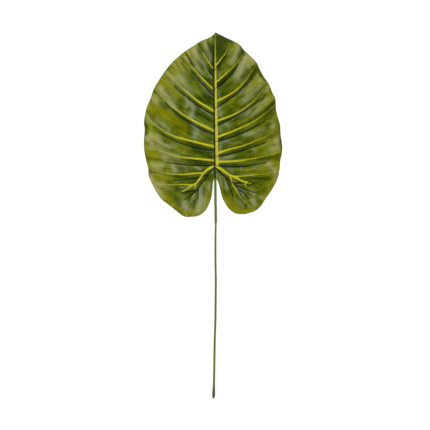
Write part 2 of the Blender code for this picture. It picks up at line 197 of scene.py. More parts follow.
class Patch:
    """Cross lines of the blade between an axis and an edge, led by the ribs between them."""

    def __init__(self, axis, edge, ribs, first):
        self.axis, self.edge = axis, edge
        self.starts = [first, *(axis.nearest(rib[0]) for rib in ribs), axis.length]
        self.ends = [0, *(edge.nearest(rib[1]) for rib in ribs), edge.length]
        self.bows = [0, *(rib[2] for rib in ribs), 0]
        self.reaches = [0, *(rib[3] for rib in ribs), 0]
        self.across = math.copysign(1, ribs[0][1][0] - ribs[0][0][0])

    def plain_line(self, number):
        """The cross line at this rib number, or between two of them, with its panel flat."""
        numbers = np.arange(len(self.starts))
        a = self.axis.at(np.interp(number, numbers, self.starts))
        b = self.edge.at(np.interp(number, numbers, self.ends))
        v = np.linspace(0, 1, LINE_STEPS + 1)[:, None]
        span = b - a
        towards_stem = np.array([span[1], -span[0], 0]) * self.across
        bow = np.interp(number, numbers, self.bows)
        line = a + span * v + towards_stem * bow * 4 * v * (1 - v)
        line[:, 2] += CROWN * np.linalg.norm(span) * np.sin(math.pi * v[:, 0])
        return line

    def line(self, start):
        """The upper face along the cross line that leaves the axis at this distance."""
        number = np.interp(start, self.starts, np.arange(len(self.starts)))
        rib = min(int(number), len(self.starts) - 2)
        share = number - rib
        line = self.plain_line(number)
        width = np.linalg.norm(self.plain_line(rib + 1) - self.plain_line(rib), axis=1)
        v = np.linspace(0, 1, LINE_STEPS + 1)
        puff = np.sin(math.pi / 2 * np.minimum(v / PUFF_RISE, 1)) * (1 - (1 - EDGE_PUFF) * v**2)
        narrow = PUFF_SPAN * np.linalg.norm(line[-1] - line[0])
        rise = QUILT * np.minimum(np.minimum(width, WIDEST_PUFF), narrow) * puff
        line[:, 2] += rise * abs(math.sin(math.pi * share)) ** PUFF_POWER
        for side, away in ((rib, share), (rib + 1, 1 - share)):
            fade = np.clip((self.reaches[side] + GROOVE_RUNOUT - v) / GROOVE_FADE, 0, 1)
            line[:, 2] -= GROOVE_DEPTH * fade * np.exp(-(away * width / GROOVE_WIDTH) ** 2)
        along = v * np.linalg.norm(line[-1] - line[0])
        for step, point in enumerate(line):
            spot = Vector((along[step] / RIPPLE_LENGTH, share * width[step] / RIPPLE_WIDTH,
                           5.3 * rib + 31 * self.across + 47 * self.starts[0]))
            point[2] += RIPPLE * noise.noise(spot) * math.sin(math.pi * share) * min(v[step] * 8, 1)
        line[:, 2] = np.maximum(line[:, 2], SHEET)
        return line


def spaced(stops, spacing):
    """Every stop, and even steps of about this spacing between them."""
    stops = sorted(stops)
    steps = [np.linspace(a, b, math.ceil((b - a) / spacing), endpoint=False)
             for a, b in zip(stops, stops[1:]) if b - a > 0.1 * MM]
    return np.append(np.concatenate(steps), stops[-1])


def distance_to(line, places, reach=14 * MM):
    """Each place's distance to a line seen from above, its side of it, and the share run along."""
    line = np.asarray(line)[:, :2]
    lengths = np.linalg.norm(np.diff(line, axis=0), axis=1)
    run = np.concatenate([[0], np.cumsum(lengths)]) / lengths.sum()
    away = np.full(len(places), 1.0)
    side = np.full(len(places), 1.0)
    share = np.zeros(len(places))
    low, high = line.min(axis=0) - reach, line.max(axis=0) + reach
    near = np.flatnonzero(((places[:, :2] > low) & (places[:, :2] < high)).all(axis=1))
    spots = places[near, :2]
    best, best_side, best_share = away[near], side[near], share[near]
    for start, end, first, last in zip(line, line[1:], run, run[1:]):
        step = end - start
        offset = spots - start
        part = np.clip(offset @ step / (step @ step), 0, 1)
        gap = np.linalg.norm(offset - part[:, None] * step, axis=1)
        closer = gap < best
        best[closer] = gap[closer]
        turn = step[0] * offset[:, 1] - step[1] * offset[:, 0]
        best_side[closer] = np.where(turn < 0, -1, 1)[closer]
        best_share[closer] = (first + part * (last - first))[closer]
    away[near], side[near], share[near] = best, best_side, best_share
    return away, side, share


WIDTH_POWER = 0.7  # under 1, a vein narrows most near its start


def nearest_of(lines, places, widths=None):
    """Each place's distance to the nearest of some lines, its side, the share along, the width
    and which line it is."""
    kept = None
    for index, (line, width) in enumerate(zip(lines, widths or [(1, 1)] * len(lines))):
        away, side, share = distance_to(line, places)
        found = [away / MM, side, share, width[0] + (width[1] - width[0]) * share**WIDTH_POWER,
                 np.full(len(places), index)]
        if kept is not None:
            closer = found[0] - found[3] / 2 < kept[0] - kept[3] / 2
            found = [np.where(closer, new, old) for new, old in zip(found, kept)]
        kept = found
    return kept


fork_run = Route(MIDRIB).length
halves = []
for half in (LEFT, RIGHT):
    axis_line = Route(MIDRIB, half["lobe_rib"])
    halves.append((Patch(axis_line, Route(half["margin"]), half["ribs"], 0),
                   Patch(axis_line, Route(half["cleft"]), half["cleft_ribs"], fork_run)))
midrib_stops = [start for outer, cleft in halves for start in outer.starts if start < fork_run]
midrib_rows = spaced([*midrib_stops, fork_run], ROW_SPACING)

blade_bm = bmesh.new()
panel_layer = blade_bm.verts.layers.float_vector.new("panel")
for outer, cleft in halves:
    lobe_rows = spaced([s for s in outer.starts + cleft.starts if s >= fork_run], ROW_SPACING)
    for patch, starts in ((outer, [*midrib_rows, *lobe_rows[1:]]), (cleft, lobe_rows)):
        lines = [patch.line(start) for start in starts]
        numbers = np.interp(starts, patch.starts, np.arange(len(patch.starts)))
        grid = bmesh.ops.create_grid(
            blade_bm, x_segments=LINE_STEPS, y_segments=len(lines) - 1, size=0.5)
        for vert in grid["verts"]:
            row = round((vert.co.y + 0.5) * (len(lines) - 1))
            column = round((vert.co.x + 0.5) * LINE_STEPS)
            vert.co = lines[row][column]
            # number of the panel with the share across it, share along it, and its half and kind
            vert[panel_layer] = (numbers[row], column / LINE_STEPS,
                                 patch.across * (1 if patch is outer else 2))
bmesh.ops.remove_doubles(blade_bm, verts=blade_bm.verts[:], dist=0.01 * MM)
bmesh.ops.recalc_face_normals(blade_bm, faces=blade_bm.faces[:])
bmesh.ops.triangulate(blade_bm, faces=blade_bm.faces[:], quad_method="SHORT_EDGE")
blade_mesh = bpy.data.meshes.new("blade_cloth")
blade_bm.to_mesh(blade_mesh)
blade_bm.free()

count = len(blade_mesh.vertices)
places = np.empty(count * 3, np.float32)
blade_mesh.vertices.foreach_get("co", places)
places = places.reshape(-1, 3).astype(float)
panel = np.empty(count * 3, np.float32)
blade_mesh.attributes["panel"].data.foreach_get("vector", panel)
panel = panel.reshape(-1, 3).astype(float)

rib_lines = []
for outer, cleft in halves:
    for patch in (outer, cleft):
        for start, reach in zip(patch.starts[1:-1], patch.reaches[1:-1]):
            rib_lines.append(patch.line(start)[:round(reach * LINE_STEPS) + 1])
lobe_lines = [Route(half["lobe_rib"]) for half in (LEFT, RIGHT)]
lobe_lines = [route.at(np.linspace(0, route.length * half["lobe_reach"], 60))
              for route, half in zip(lobe_lines, (LEFT, RIGHT))]
midrib_route = Route(MIDRIB)
DARK_MIDRIB_START = 15.5 * MM
SPINE_SHIFT = ((100, 140, 200, 290, 325), (0, -0.2, -0.5, -0.5, 0))  # sideways, by height in mm
neck_line = halves[0][1].line(halves[0][1].starts[0])
spine_line = np.vstack([midrib_route.at(np.linspace(DARK_MIDRIB_START, midrib_route.length, 200)),
                        neck_line[1:]])
spine_line[:, 0] += np.interp(spine_line[:, 1] / MM, *SPINE_SHIFT) * MM

rib_away, _, rib_share, _, _ = nearest_of([*rib_lines, *lobe_lines], places)
spine_away, _, spine_share, _, _ = nearest_of([spine_line], places)
vein_away, vein_side, vein_share, vein_width, vein_number = nearest_of(
    [Route([(x, y, 0) for x, y in line]).points for start, end, dull, line in YELLOW_VEINS], places,
    [(start, end) for start, end, dull, line in YELLOW_VEINS])
vein_dull = np.array([dull for start, end, dull, line in YELLOW_VEINS])[vein_number] * vein_share
FADING_DULL = 0.25  # a vein that ends duller than this also fades out
RIGHT_FADING = 1.5  # and does so this much sooner on the right
vein_faded = (vein_share * (vein_dull > FADING_DULL * vein_share)
              * np.where(places[:, 0] > 0, RIGHT_FADING, 1))
stripe_away, _, stripe_share, stripe_width, _ = nearest_of(
    [Route([(x, y, 0) for x, y in YELLOW_MIDRIB[2]]).points], places, [YELLOW_MIDRIB[:2]])
edge_away = nearest_of([patch.edge.points for pair in halves for patch in pair], places)[0]

# The printed veins stand a little proud of the cloth, most near the midrib
VEIN_RIDGE = 0.35 * MM
RIDGE_LOSS = 0.7  # share of that height which is gone at a vein's end
STRIPE_RIDGE = 2.4  # half width of the yellow midrib's ridge, in mm
RIDGE_MARGIN = 6  # distance from the margin over which the ridges flatten, in mm
ridge = np.exp(-(vein_away / vein_width) ** 2) * (1 - RIDGE_LOSS * vein_share)
ridge = np.maximum(ridge, np.exp(-(stripe_away / STRIPE_RIDGE) ** 2))
places[:, 2] += VEIN_RIDGE * ridge * np.clip(edge_away / RIDGE_MARGIN, 0, 1)
blade_mesh.vertices.foreach_set("co", places.astype(np.float32).ravel())

# Soft strokes in the leaf's own places, partly print and partly painted light: the pale ones are
# print and painted sheen, the dark ones print and painted shade. A stroke is its width, its
# strength and the line that it follows. Pale ones are grey green near the midrib and khaki towards
# the margin.
PALE_STROKES = [
    (9, 0.75, [(-16, 331), (-10, 313), (-6, 294)]), (4, 0.55, [(-1, 338), (-1.5, 324)]),
    (13, 0.85, [(-37, 318), (-31, 303), (-29, 290)]),
    (4, 0.8, [(-20, 293), (-12, 276), (-4, 262)]),
    (4.5, 0.75, [(-49, 312), (-38, 294), (-30, 280)]), (5, 0.6, [(-35, 283), (-21, 268)]),
    (4, 0.55, [(-56, 303), (-47, 292)]), (4, 0.65, [(-23, 253), (-5, 232)]),
    (5, 0.4, [(-84, 290), (-72, 288)]), (16, 0.25, [(-64, 280), (-58, 270)]),
    (16, 0.55, [(-69, 262), (-58, 248), (-48, 236)]), (8, 0.6, [(-88, 272), (-76, 256)]),
    (13, 0.8, [(-98, 240), (-84, 222), (-76, 208)]),
    (6, 0.8, [(-52, 223), (-48, 213), (-50, 206)]), (9, 0.9, [(-42, 213), (-38, 203), (-40, 188)]),
    (3.5, 0.65, [(-22, 203), (-4, 189)]), (11, 0.65, [(-115, 226), (-104, 214)]),
    (7, 0.45, [(-126, 190), (-122, 180)]), (12, 0.5, [(-108, 180), (-98, 172)]),
    (9, 0.75, [(48, 322), (42, 306), (36, 290)]), (5, 0.45, [(27, 311), (28, 307)]),
    (15, 0.85, [(62, 300), (58, 284), (48, 264)]), (9, 0.5, [(70, 303), (78, 290)]),
    (4, 0.3, [(10, 273), (11, 262)]), (4, 0.5, [(11, 236), (11, 223)]),
    (7, 0.65, [(11, 208), (14, 190)]), (8, 0.5, [(95, 255), (84, 262)]),
    (9, 0.45, [(70, 244), (60, 232)]), (10, 0.65, [(88, 247), (76, 232), (60, 218)]),
    (6, 0.65, [(104, 244), (98, 232)]), (9, 0.6, [(102, 222), (92, 213), (84, 205)]),
    (8, 0.5, [(68, 203), (50, 192)]), (8, 0.55, [(115, 178), (113, 168)]),
    (11, 0.75, [(-118, 152), (-104, 146)]), (6, 0.7, [(-128, 150), (-126, 144)]),
    (8, 0.55, [(-100, 141), (-84, 128)]), (7, 0.4, [(-78, 134), (-72, 130)]),
    (10, 0.65, [(-34, 172), (-30, 160), (-34, 150)]), (8, 0.55, [(-96, 172), (-84, 162)]),
    (9, 0.65, [(-116, 97), (-98, 95)]), (6, 0.6, [(-95, 112), (-90, 104)]),
    (9, 0.75, [(-79, 98), (-72, 84)]), (5, 0.65, [(-33, 91), (-24, 86)]),
    (4, 0.5, [(-60, 52), (-48, 53)]), (7, 0.4, [(-101, 54), (-80, 52)]),
    (6, 0.5, [(-116, 72), (-118, 66)]), (12, 0.8, [(-57, 25), (-50, 12)]),
    (12, 0.85, [(-24, 46), (-23, 28), (-28, 10)]), (4, 0.7, [(-38, 35), (-42, 27)]),
    (6, 0.5, [(-8, 62), (-8, 48)]), (8, 0.4, [(-62, 96), (-50, 88)]),
    (8, 0.5, [(25, 173), (30, 168)]), (7, 0.35, [(13, 166), (15, 158)]),
    (8, 0.5, [(96, 163), (84, 156), (60, 153)]), (6, 0.5, [(16, 136), (26, 140)]),
    (11, 0.7, [(120, 144), (124, 130), (114, 126)]), (6, 0.55, [(80, 122), (75, 127)]),
    (6, 0.55, [(20, 108), (38, 112)]), (11, 0.65, [(104, 99), (116, 88)]),
    (6, 0.5, [(89, 96), (80, 92)]), (5, 0.5, [(53, 90), (54, 86)]), (8, 0.4, [(30, 87), (36, 85)]),
    (6, 0.65, [(28, 52), (24, 62)]), (5, 0.45, [(15, 70), (14, 56)]),
    (4, 0.75, [(70, 44), (80, 41)]), (10, 0.75, [(76, 29), (78, 22)]),
    (7, 0.45, [(45, 30), (56, 20)]), (11, 0.75, [(-122, 146), (-117, 134)]),
    (11, 0.75, [(-112, 57), (-100, 37)]), (9, 0.65, [(50, 52), (56, 40)]),
    (8, 0.6, [(-120, 77), (-120, 66)]), (11, 0.5, [(-106, 133), (-92, 116), (-68, 111)]),
    (6, 0.7, [(-31, 265), (-22, 253)]), (9, 0.45, [(-110, 62), (-98, 60)]),
    (9, 0.5, [(119, 82), (121, 66)]), (8, 0.4, [(-14, 30), (-17, 14)]),
    (6, 0.4, [(24, 76), (31, 70)]), (6, 0.5, [(68, 199), (62, 190)]),
    (7, 0.5, [(84, 197), (73, 190)]), (6, 0.45, [(24, 144), (32, 138)]),
    (6, 0.5, [(62, 290), (70, 282)]), (5, 0.4, [(-18, 237), (-10, 228)]),
    (6, 0.4, [(57, 237), (49, 229)]), (7, 0.4, [(-70, 299), (-62, 294)]),
    (5, 0.45, [(40, 64), (43, 56)]), (4.5, 0.6, [(13, 134), (12.5, 122)]),
    (4.5, 0.6, [(13, 111), (13, 98)]), (4, 0.5, [(8, 80), (14, 70)]),
    (7, 0.45, [(-112, 90), (-100, 86)]), (7, 0.45, [(90, 36), (98, 34)]),
    (7, 0.4, [(-56, 262), (-50, 254)]),
]
YELLOW_STROKES = [
    (9, 0.85, [(-44, 314), (-38, 300)]), (9, 0.85, [(-70, 296), (-66, 290)]),
    (13, 0.95, [(-101, 257), (-87, 249)]), (17, 0.75, [(-113, 207), (-90, 195)]),
    (12, 0.6, [(-77, 238), (-63, 229)]), (14, 0.5, [(-89, 190), (-70, 180)]),
    (7, 0.65, [(44, 326), (38, 330)]), (7, 0.6, [(72, 292), (76, 286)]),
    (7, 0.8, [(105, 237), (110, 226)]), (16, 0.4, [(42, 223), (18, 209)]),
    (10, 0.5, [(29, 293), (23, 280)]), (12, 0.5, [(76, 252), (69, 240)]),
    (13, 0.85, [(-125, 126), (-110, 115)]), (14, 0.7, [(-105, 75), (-94, 66)]),
    (10, 0.85, [(-96, 41), (-86, 30)]), (17, 0.9, [(-47, 10), (-34, 6)]),
    (8, 0.7, [(-10, 54), (-10, 30)]), (14, 0.45, [(-63, 171), (-50, 159)]),
    (7, 0.7, [(-73, 20), (-60, 11)]), (14, 0.4, [(-61, 137), (-52, 121)]),
    (9, 0.6, [(109, 98), (121, 101)]), (13, 0.85, [(25, 31), (36, 11)]),
    (9, 0.75, [(52, 6), (76, 9)]), (9, 0.6, [(99, 39), (109, 45)]),
    (10, 0.4, [(72, 91), (59, 86)]), (10, 0.4, [(40, 148), (27, 151)]),
    (10, 0.6, [(118, 80), (121, 66)]), (8, 0.5, [(-14, 28), (-18, 12)]),
]
# dark strokes: print, and painted shade of folds and of slopes turned away from the light, as at
# the tip
DARK_STROKES = [
    (5, 0.85, [(-9, 331), (-5, 314)]), (5, 0.7, [(-26, 327), (-22, 312)]),
    (4, 0.75, [(-50, 304), (-41, 289)]), (5, 0.4, [(-24, 301), (-12, 284), (-5, 272)]),
    (8, 0.45, [(-53, 271), (-43, 257)]), (11, 0.5, [(-25, 223), (-7, 213)]),
    (7, 0.65, [(-64, 217), (-59, 203)]), (11, 0.45, [(-19, 193), (-7, 181)]),
    (6, 0.55, [(-113, 238), (-111, 233)]), (6, 0.5, [(-100, 214), (-89, 206)]),
    (24, 0.95, [(9, 306), (13, 325), (16, 340)]), (9, 0.7, [(24, 340), (34, 333)]),
    (7, 0.85, [(54, 319), (58, 307)]), (8, 0.6, [(28, 322), (26, 308)]),
    (7, 0.65, [(67, 272), (57, 261)]), (6, 0.85, [(81, 284), (72, 262)]),
    (6, 0.75, [(87, 286), (92, 268), (99, 258)]), (15, 0.5, [(32, 251), (16, 239)]),
    (6, 0.75, [(101, 229), (88, 217)]), (8, 0.75, [(116, 214), (103, 199)]),
    (7, 0.85, [(-129, 173), (-128, 157)]), (9, 0.6, [(-46, 166), (-43, 156)]),
    (13, 0.5, [(-32, 125), (-10, 118)]), (9, 0.5, [(-110, 167), (-100, 163)]),
    (8, 0.6, [(-73, 75), (-45, 72)]), (9, 0.5, [(-81, 48), (-65, 52)]),
    (12, 0.6, [(-73, 36), (-65, 24)]), (6, 0.7, [(-37, 29), (-36, 15)]),
    (5, 0.6, [(-121, 84), (-119, 79)]), (6, 0.35, [(-10, 73), (-6, 65)]),
    (5, 0.7, [(119, 215), (120, 200)]), (5, 0.75, [(128, 176), (132, 120)]),
    (9, 0.6, [(68, 71), (102, 71)]), (7, 0.6, [(88, 58), (101, 52)]),
    (6, 0.5, [(126, 112), (117, 108)]), (7, 0.4, [(20, 47), (22, 36)]),
    (11, 0.7, [(111, 196), (99, 188)]), (9, 0.6, [(82, 220), (66, 206), (56, 203)]),
    (9, 0.6, [(-46, 288), (-36, 284)]), (6, 0.55, [(-28, 290), (-22, 280)]),
    (8, 0.7, [(88, 106), (108, 110)]), (10, 0.65, [(44, 149), (64, 141)]),
    (7, 0.5, [(86, 284), (76, 266)]), (7, 0.5, [(50, 306), (52, 296)]),
    (6, 0.4, [(-16, 303), (-12, 295)]), (6, 0.5, [(-30, 317), (-24, 306)]),
    (7, 0.5, [(-43, 299), (-38, 284)]), (7, 0.4, [(-100, 170), (-90, 163)]),
    (5, 0.5, [(24, 182), (32, 178)]), (9, 0.45, [(100, 155), (111, 150)]),
    (5, 0.5, [(-3, 330), (-3, 314)]), (9, 0.45, [(-99, 209), (-87, 203)]),
    (7, 0.5, [(70, 263), (60, 250)]), (8, 0.35, [(46, 205), (58, 206)]),
    (7, 0.5, [(62, 57), (78, 60)]), (6, 0.4, [(10, 182), (12, 172)]),
    (8, 0.4, [(48, 192), (62, 200)]), (6, 0.5, [(-8, 140), (-20, 142)]),
    (6, 0.45, [(-34, 68), (-26, 62)]), (7, 0.4, [(-36, 116), (-48, 118)]),
    (8, 0.35, [(34, 236), (44, 228)]), (7, 0.4, [(22, 290), (28, 282)]),
    (6, 0.4, [(34, 194), (44, 190)]), (2.2, 0.85, [(64, 61.5), (75, 62.3), (85, 62)]),
]
WANDER = 2.5 * MM  # how far noise pulls the edges of a stroke about
WANDER_SIZE = 11 * MM  # and how large that noise is, which Blender seeds from the clock
FEATHER = 0.6  # a stroke's softness, as a share of its width


def painted(strokes, spots):
    """How much of a tone the strokes lay on each spot, from 0 to 1."""
    bare = np.ones(len(spots))
    for width, strength, line in strokes:
        away = distance_to(np.array(line) * MM, spots, 1.6 * width * MM)[0]
        bare *= 1 - strength * np.exp(-(away / (FEATHER * width * MM)) ** 2)
    return 1 - bare


def clouds(coarse, fine):
    """Noise at one place, with finer noise over it."""
    return noise.noise(Vector(coarse)) + 0.7 * noise.noise(Vector(fine))


# streaks run along the panels, and drifts are soft clouds 9 mm and 4 mm across
number, along, kind = panel.T
share = number - np.floor(number)
pulls = np.array([noise.noise_vector(Vector((x, y, 0)) / WANDER_SIZE) for x, y, z in places])
spots = places[:, :2] + WANDER * pulls[:, :2]
streaks = np.array([clouds((a * 3.2, n * 3.4, k * 17.0), (a * 5, n * 10, k * 7.0 + 3))
                    for n, a, k in panel])
drifts = np.array([clouds((x / 9, y / 9, 4.0), (x / 4, y / 4, 9))
                   for x, y in places[:, :2] / MM])

# pale, which is print and painted sheen, and yellow: broken up by the streaks, firmer where a pale
# stroke is strong, and faintly pale wherever a streak is
PALE_BREAK, YELLOW_BREAK = 0.5, 0.3
FIRMNESS, FIRM_FROM = 0.5, 0.42
FAINT, FAINT_FROM = 0.35, 0.15
pale = painted(PALE_STROKES, spots) * (1 + PALE_BREAK * streaks)
pale = pale + FIRMNESS * np.clip((pale - FIRM_FROM) * 4, 0, 1) * pale * (1 - pale)
pale = np.clip(np.maximum(pale, FAINT * (streaks - FAINT_FROM)), 0, 1)
yellow = np.clip(painted(YELLOW_STROKES, spots) * (1 + YELLOW_BREAK * streaks), 0, 1)

# painted shade: a soft dark band along each side rib, on its side towards the tip, where the cloth
# falls away from the light into the rib's groove: strongest between the rib and the yellow vein
# above it, and weak in the lobes
BAND_WIDTH, BAND_SOFT = 7, 3.5  # in mm
BAND_END, BAND_RUNOUT = 1.1, 0.3  # as shares of the rib's length
BAND_DARK, BAND_OUTSIDE, BAND_IN_LOBES = 0.5, 0.2, 0.3
LOBES_BELOW = 66  # in mm
below_vein = vein_side * np.where(places[:, 0] < 0, 1, -1) > 0
band = np.clip((BAND_WIDTH - rib_away) / BAND_SOFT, 0, 1) * (share > 0.5)
band *= np.clip((BAND_END - rib_share) / BAND_RUNOUT, 0, 1) * (np.abs(kind) < 1.5)
band *= BAND_DARK * np.where(below_vein, 1, BAND_OUTSIDE)
band *= np.where(places[:, 1] / MM < LOBES_BELOW, BAND_IN_LOBES, 1)
dark = np.clip(np.maximum(painted(DARK_STROKES, spots), band), 0, 1)

# olive grows outwards, and a painted highlight, a thin grey light edge, lies just below the inner
# part of each rib
OLIVE_FROM = 0.3
GLEAM, GLEAM_AWAY, GLEAM_HALF = 0.5, 2.6, 1.6  # strength, then mm
GLEAM_REACH = 0.35
outwards = np.clip((along - OLIVE_FROM) / (1 - OLIVE_FROM), 0, 1)
streaked = np.clip(0.5 + 0.95 * streaks + 0.3 * drifts, 0, 1)
gleam = np.clip(1 - np.abs(rib_away - GLEAM_AWAY) / GLEAM_HALF, 0, 1) * (share < 0.5)
gleam *= GLEAM * np.clip(1 - rib_share / GLEAM_REACH, 0, 1)

# fields for the shader: "tone" carries the strokes with their painted sheen and painted shade, and
# "stripe" also carries the painted highlight below the ribs
for name, values in (
        ("vein", (vein_away * vein_side, vein_away - vein_width / 2, vein_faded)),
        ("vein_size", (vein_width / 2, edge_away, spine_away)),
        ("rib", (rib_away, rib_share, spine_share)),
        ("stripe", (stripe_away - stripe_width / 2, stripe_share, gleam)),
        ("tone", (pale, yellow, dark)),
        ("place", (outwards, streaked, vein_dull))):
    layer = blade_mesh.attributes.new(name, "FLOAT_VECTOR", "POINT")
    layer.data.foreach_set("vector", np.stack(values, axis=1).astype(np.float32).ravel())


def colour(code):
    """An sRGB hex colour as the linear values that a shader takes."""
    shares = [int(code[i:i + 2], 16) / 255 for i in (1, 3, 5)]
    return (*(s / 12.92 if s <= 0.04045 else ((s + 0.055) / 1.055) ** 2.4 for s in shares), 1)


def add_node(material, kind, inputs=None, **settings):
    """Adds a node with its settings, and gives each of its inputs a value or a link."""
    made = material.node_tree.nodes.new("ShaderNode" + kind)
    for name, value in settings.items():
        setattr(made, name, value)
    for socket, value in (inputs or {}).items():
        if isinstance(value, bpy.types.NodeSocket):
            material.node_tree.links.new(value, made.inputs[socket])
        else:
            made.inputs[socket].default_value = value
    return made


# Printed polyester cloth, pressed and lightly coated: a flat ink colour with soft strokes, which
# are print with painted sheen and painted shade in them, a fine weave under it, and a satin shine
# that greys the slopes that face the light.
cloth = bpy.data.materials.new("printed_pressed_polyester")
cloth.use_nodes = True
shader = cloth.node_tree.nodes["Principled BSDF"]
shader.inputs["Roughness"].default_value = 0.42
shader.inputs["IOR"].default_value = 1.47
shader.inputs["Specular IOR Level"].default_value = 0.03

position = add_node(cloth, "TexCoord").outputs["Object"]
fields = {}
for name in ("vein", "vein_size", "rib", "stripe", "tone", "place"):
    field = add_node(cloth, "Attribute", attribute_name=name)
    fields[name] = add_node(cloth, "SeparateXYZ", {0: field.outputs["Vector"]}).outputs
vein_signed, vein_outside, vein_fading = fields["vein"]
vein_half, margin_away, spine_off = fields["vein_size"]
rib_off, rib_run, spine_run = fields["rib"]
stripe_outside, stripe_run, gleam_share = fields["stripe"]
pale_share, yellow_share, dark_share = fields["tone"]
outward_share, streak_share, vein_dulled = fields["place"]

# ink: green near the midrib and olive at the margin, each darker or lighter with streaks along the
# panels and with mottling about 3 mm across
MOTTLE = 3 * MM
mottle = add_node(cloth, "TexNoise", {"Vector": position, "Scale": 1 / MOTTLE, "Detail": 3})
mottle = add_node(cloth, "MapRange", {0: mottle.outputs["Fac"], 1: 0.25, 2: 0.75, 3: -0.3, 4: 0.3})
depth = add_node(cloth, "Math", {0: streak_share, 1: mottle.outputs[0]}, operation="ADD",
                 use_clamp=True).outputs[0]
inner = add_node(cloth, "Mix", {0: depth, 6: colour("#2a3a00"), 7: colour("#5f6c08")},
                 data_type="RGBA").outputs[2]
outer = add_node(cloth, "Mix", {0: depth, 6: colour("#4a5200"), 7: colour("#7e840c")},
                 data_type="RGBA").outputs[2]
base_colour = add_node(cloth, "Mix", {0: outward_share, 6: inner, 7: outer}, data_type="RGBA").outputs[2]
pale_print_and_sheen = add_node(cloth, "Mix", {0: outward_share, 6: colour("#7c8462"), 7: colour("#9a9858")},
                    data_type="RGBA").outputs[2]
# over the ink go the yellow strokes, the pale strokes as print and painted sheen, and the dark
# strokes as print and painted shade, with the painted shade band along the ribs
for amount, tone in ((yellow_share, colour("#7a7a04")), (pale_share, pale_print_and_sheen),
                     (dark_share, colour("#2c3a02"))):
    layer = add_node(cloth, "Mix", {0: amount, 6: base_colour}, data_type="RGBA")
    if isinstance(tone, tuple):
        layer.inputs[7].default_value = tone
    else:
        cloth.node_tree.links.new(tone, layer.inputs[7])
    base_colour = layer.outputs[2]
rim = add_node(cloth, "MapRange", {0: margin_away, 1: 0.3, 2: 2.2, 3: 0.12, 4: 0})
base_colour = add_node(cloth, "Mix", {0: rim.outputs[0], 6: base_colour, 7: colour("#4c5210")},
               data_type="RGBA").outputs[2]

# dark lines where the moulded side ribs show through the cloth, thinner towards their ends, with a
# painted highlight, a grey light edge, just below each near the midrib
glow = add_node(cloth, "Mix", {0: gleam_share, 6: base_colour, 7: colour("#76805c")}, data_type="RGBA")
base_colour = glow.outputs[2]
rib_half = add_node(cloth, "MapRange", {0: rib_run, 1: 0, 2: 1, 3: 1.4, 4: 0.95})
inside = add_node(cloth, "Math", {0: rib_half.outputs[0], 1: rib_off}, operation="SUBTRACT")
rib_mask = add_node(cloth, "MapRange", {0: inside.outputs[0], 1: -0.5, 2: 0.5, 3: 0, 4: 0.96})
base_colour = add_node(cloth, "Mix", {0: rib_mask.outputs[0], 6: base_colour, 7: colour("#101a12")},
               data_type="RGBA").outputs[2]

# yellow veins, with edges about 1 mm soft, fading towards the margin, worn in patches and with a
# few cream flecks of painted highlight
WORN_PATCH = 5 * MM
CREAM_FLECK = 3.5 * MM
across = add_node(cloth, "Math", {0: vein_signed}, operation="ABSOLUTE")
inside = add_node(cloth, "Math", {0: vein_half, 1: across.outputs[0]}, operation="SUBTRACT")
mask = add_node(cloth, "MapRange", {0: inside.outputs[0], 1: -0.6, 2: 0.6})
near = add_node(cloth, "MapRange", {0: vein_outside, 1: 1.1, 2: 0.5})
fade = add_node(cloth, "MapRange", {0: vein_fading, 1: 0.3, 2: 1.5, 3: 1, 4: 0.25})
speck = add_node(cloth, "TexNoise", {"Vector": position, "Scale": 1 / WORN_PATCH, "Detail": 2})
worn = add_node(cloth, "MapRange", {0: speck.outputs["Fac"], 1: 0.35, 2: 0.65, 3: 0.78, 4: 1})
for limit in (near, fade, worn):
    mask = add_node(cloth, "Math", {0: mask.outputs[0], 1: limit.outputs[0]}, operation="MULTIPLY")
dulled = add_node(cloth, "MapRange", {0: vein_dulled, 1: 0.3, 2: 1})
vein_colour = add_node(cloth, "Mix", {0: dulled.outputs[0], 6: colour("#beb60c"),
                                   7: colour("#90924c")}, data_type="RGBA")
# cream flecks: painted highlight on the raised veins
fleck = add_node(cloth, "TexNoise", {"Vector": position, "Scale": 1 / CREAM_FLECK, "Detail": 1})
glint_flecks = add_node(cloth, "MapRange", {0: fleck.outputs["Fac"], 1: 0.56, 2: 0.72, 3: 0, 4: 0.5})
vein_colour = add_node(cloth, "Mix", {0: glint_flecks.outputs[0], 6: vein_colour.outputs[2],
                                   7: colour("#cfcb8c")}, data_type="RGBA")
base_colour = add_node(cloth, "Mix", {0: mask.outputs[0], 6: base_colour, 7: vein_colour.outputs[2]},
               data_type="RGBA").outputs[2]

# the yellow midrib, 2 mm wide at the tip and 5 mm at the fork, crossed by the right ribs' ends
mask = add_node(cloth, "MapRange", {0: stripe_outside, 1: 0.6, 2: -0.6})
mask = add_node(cloth, "Math", {0: mask.outputs[0], 1: worn.outputs[0]}, operation="MULTIPLY")
ripe = add_node(cloth, "MapRange", {0: stripe_run, 1: 0.08, 2: 0.35})
stripe_ink = add_node(cloth, "Mix", {0: ripe.outputs[0], 6: colour("#868408"),
                                     7: colour("#c0b636")}, data_type="RGBA")
base_colour = add_node(cloth, "Mix", {0: mask.outputs[0], 6: base_colour, 7: stripe_ink.outputs[2]},
               data_type="RGBA").outputs[2]
inside = add_node(cloth, "Math", {0: 0.75, 1: rib_off}, operation="SUBTRACT")
start = add_node(cloth, "MapRange", {0: rib_run, 1: 0.1, 2: 0.14, 3: 0.75, 4: 0})
mask = add_node(cloth, "MapRange", {0: inside.outputs[0], 1: -0.5, 2: 0.5})
mask = add_node(cloth, "Math", {0: mask.outputs[0], 1: start.outputs[0]}, operation="MULTIPLY")
base_colour = add_node(cloth, "Mix", {0: mask.outputs[0], 6: base_colour, 7: colour("#2a3a1c")},
               data_type="RGBA").outputs[2]

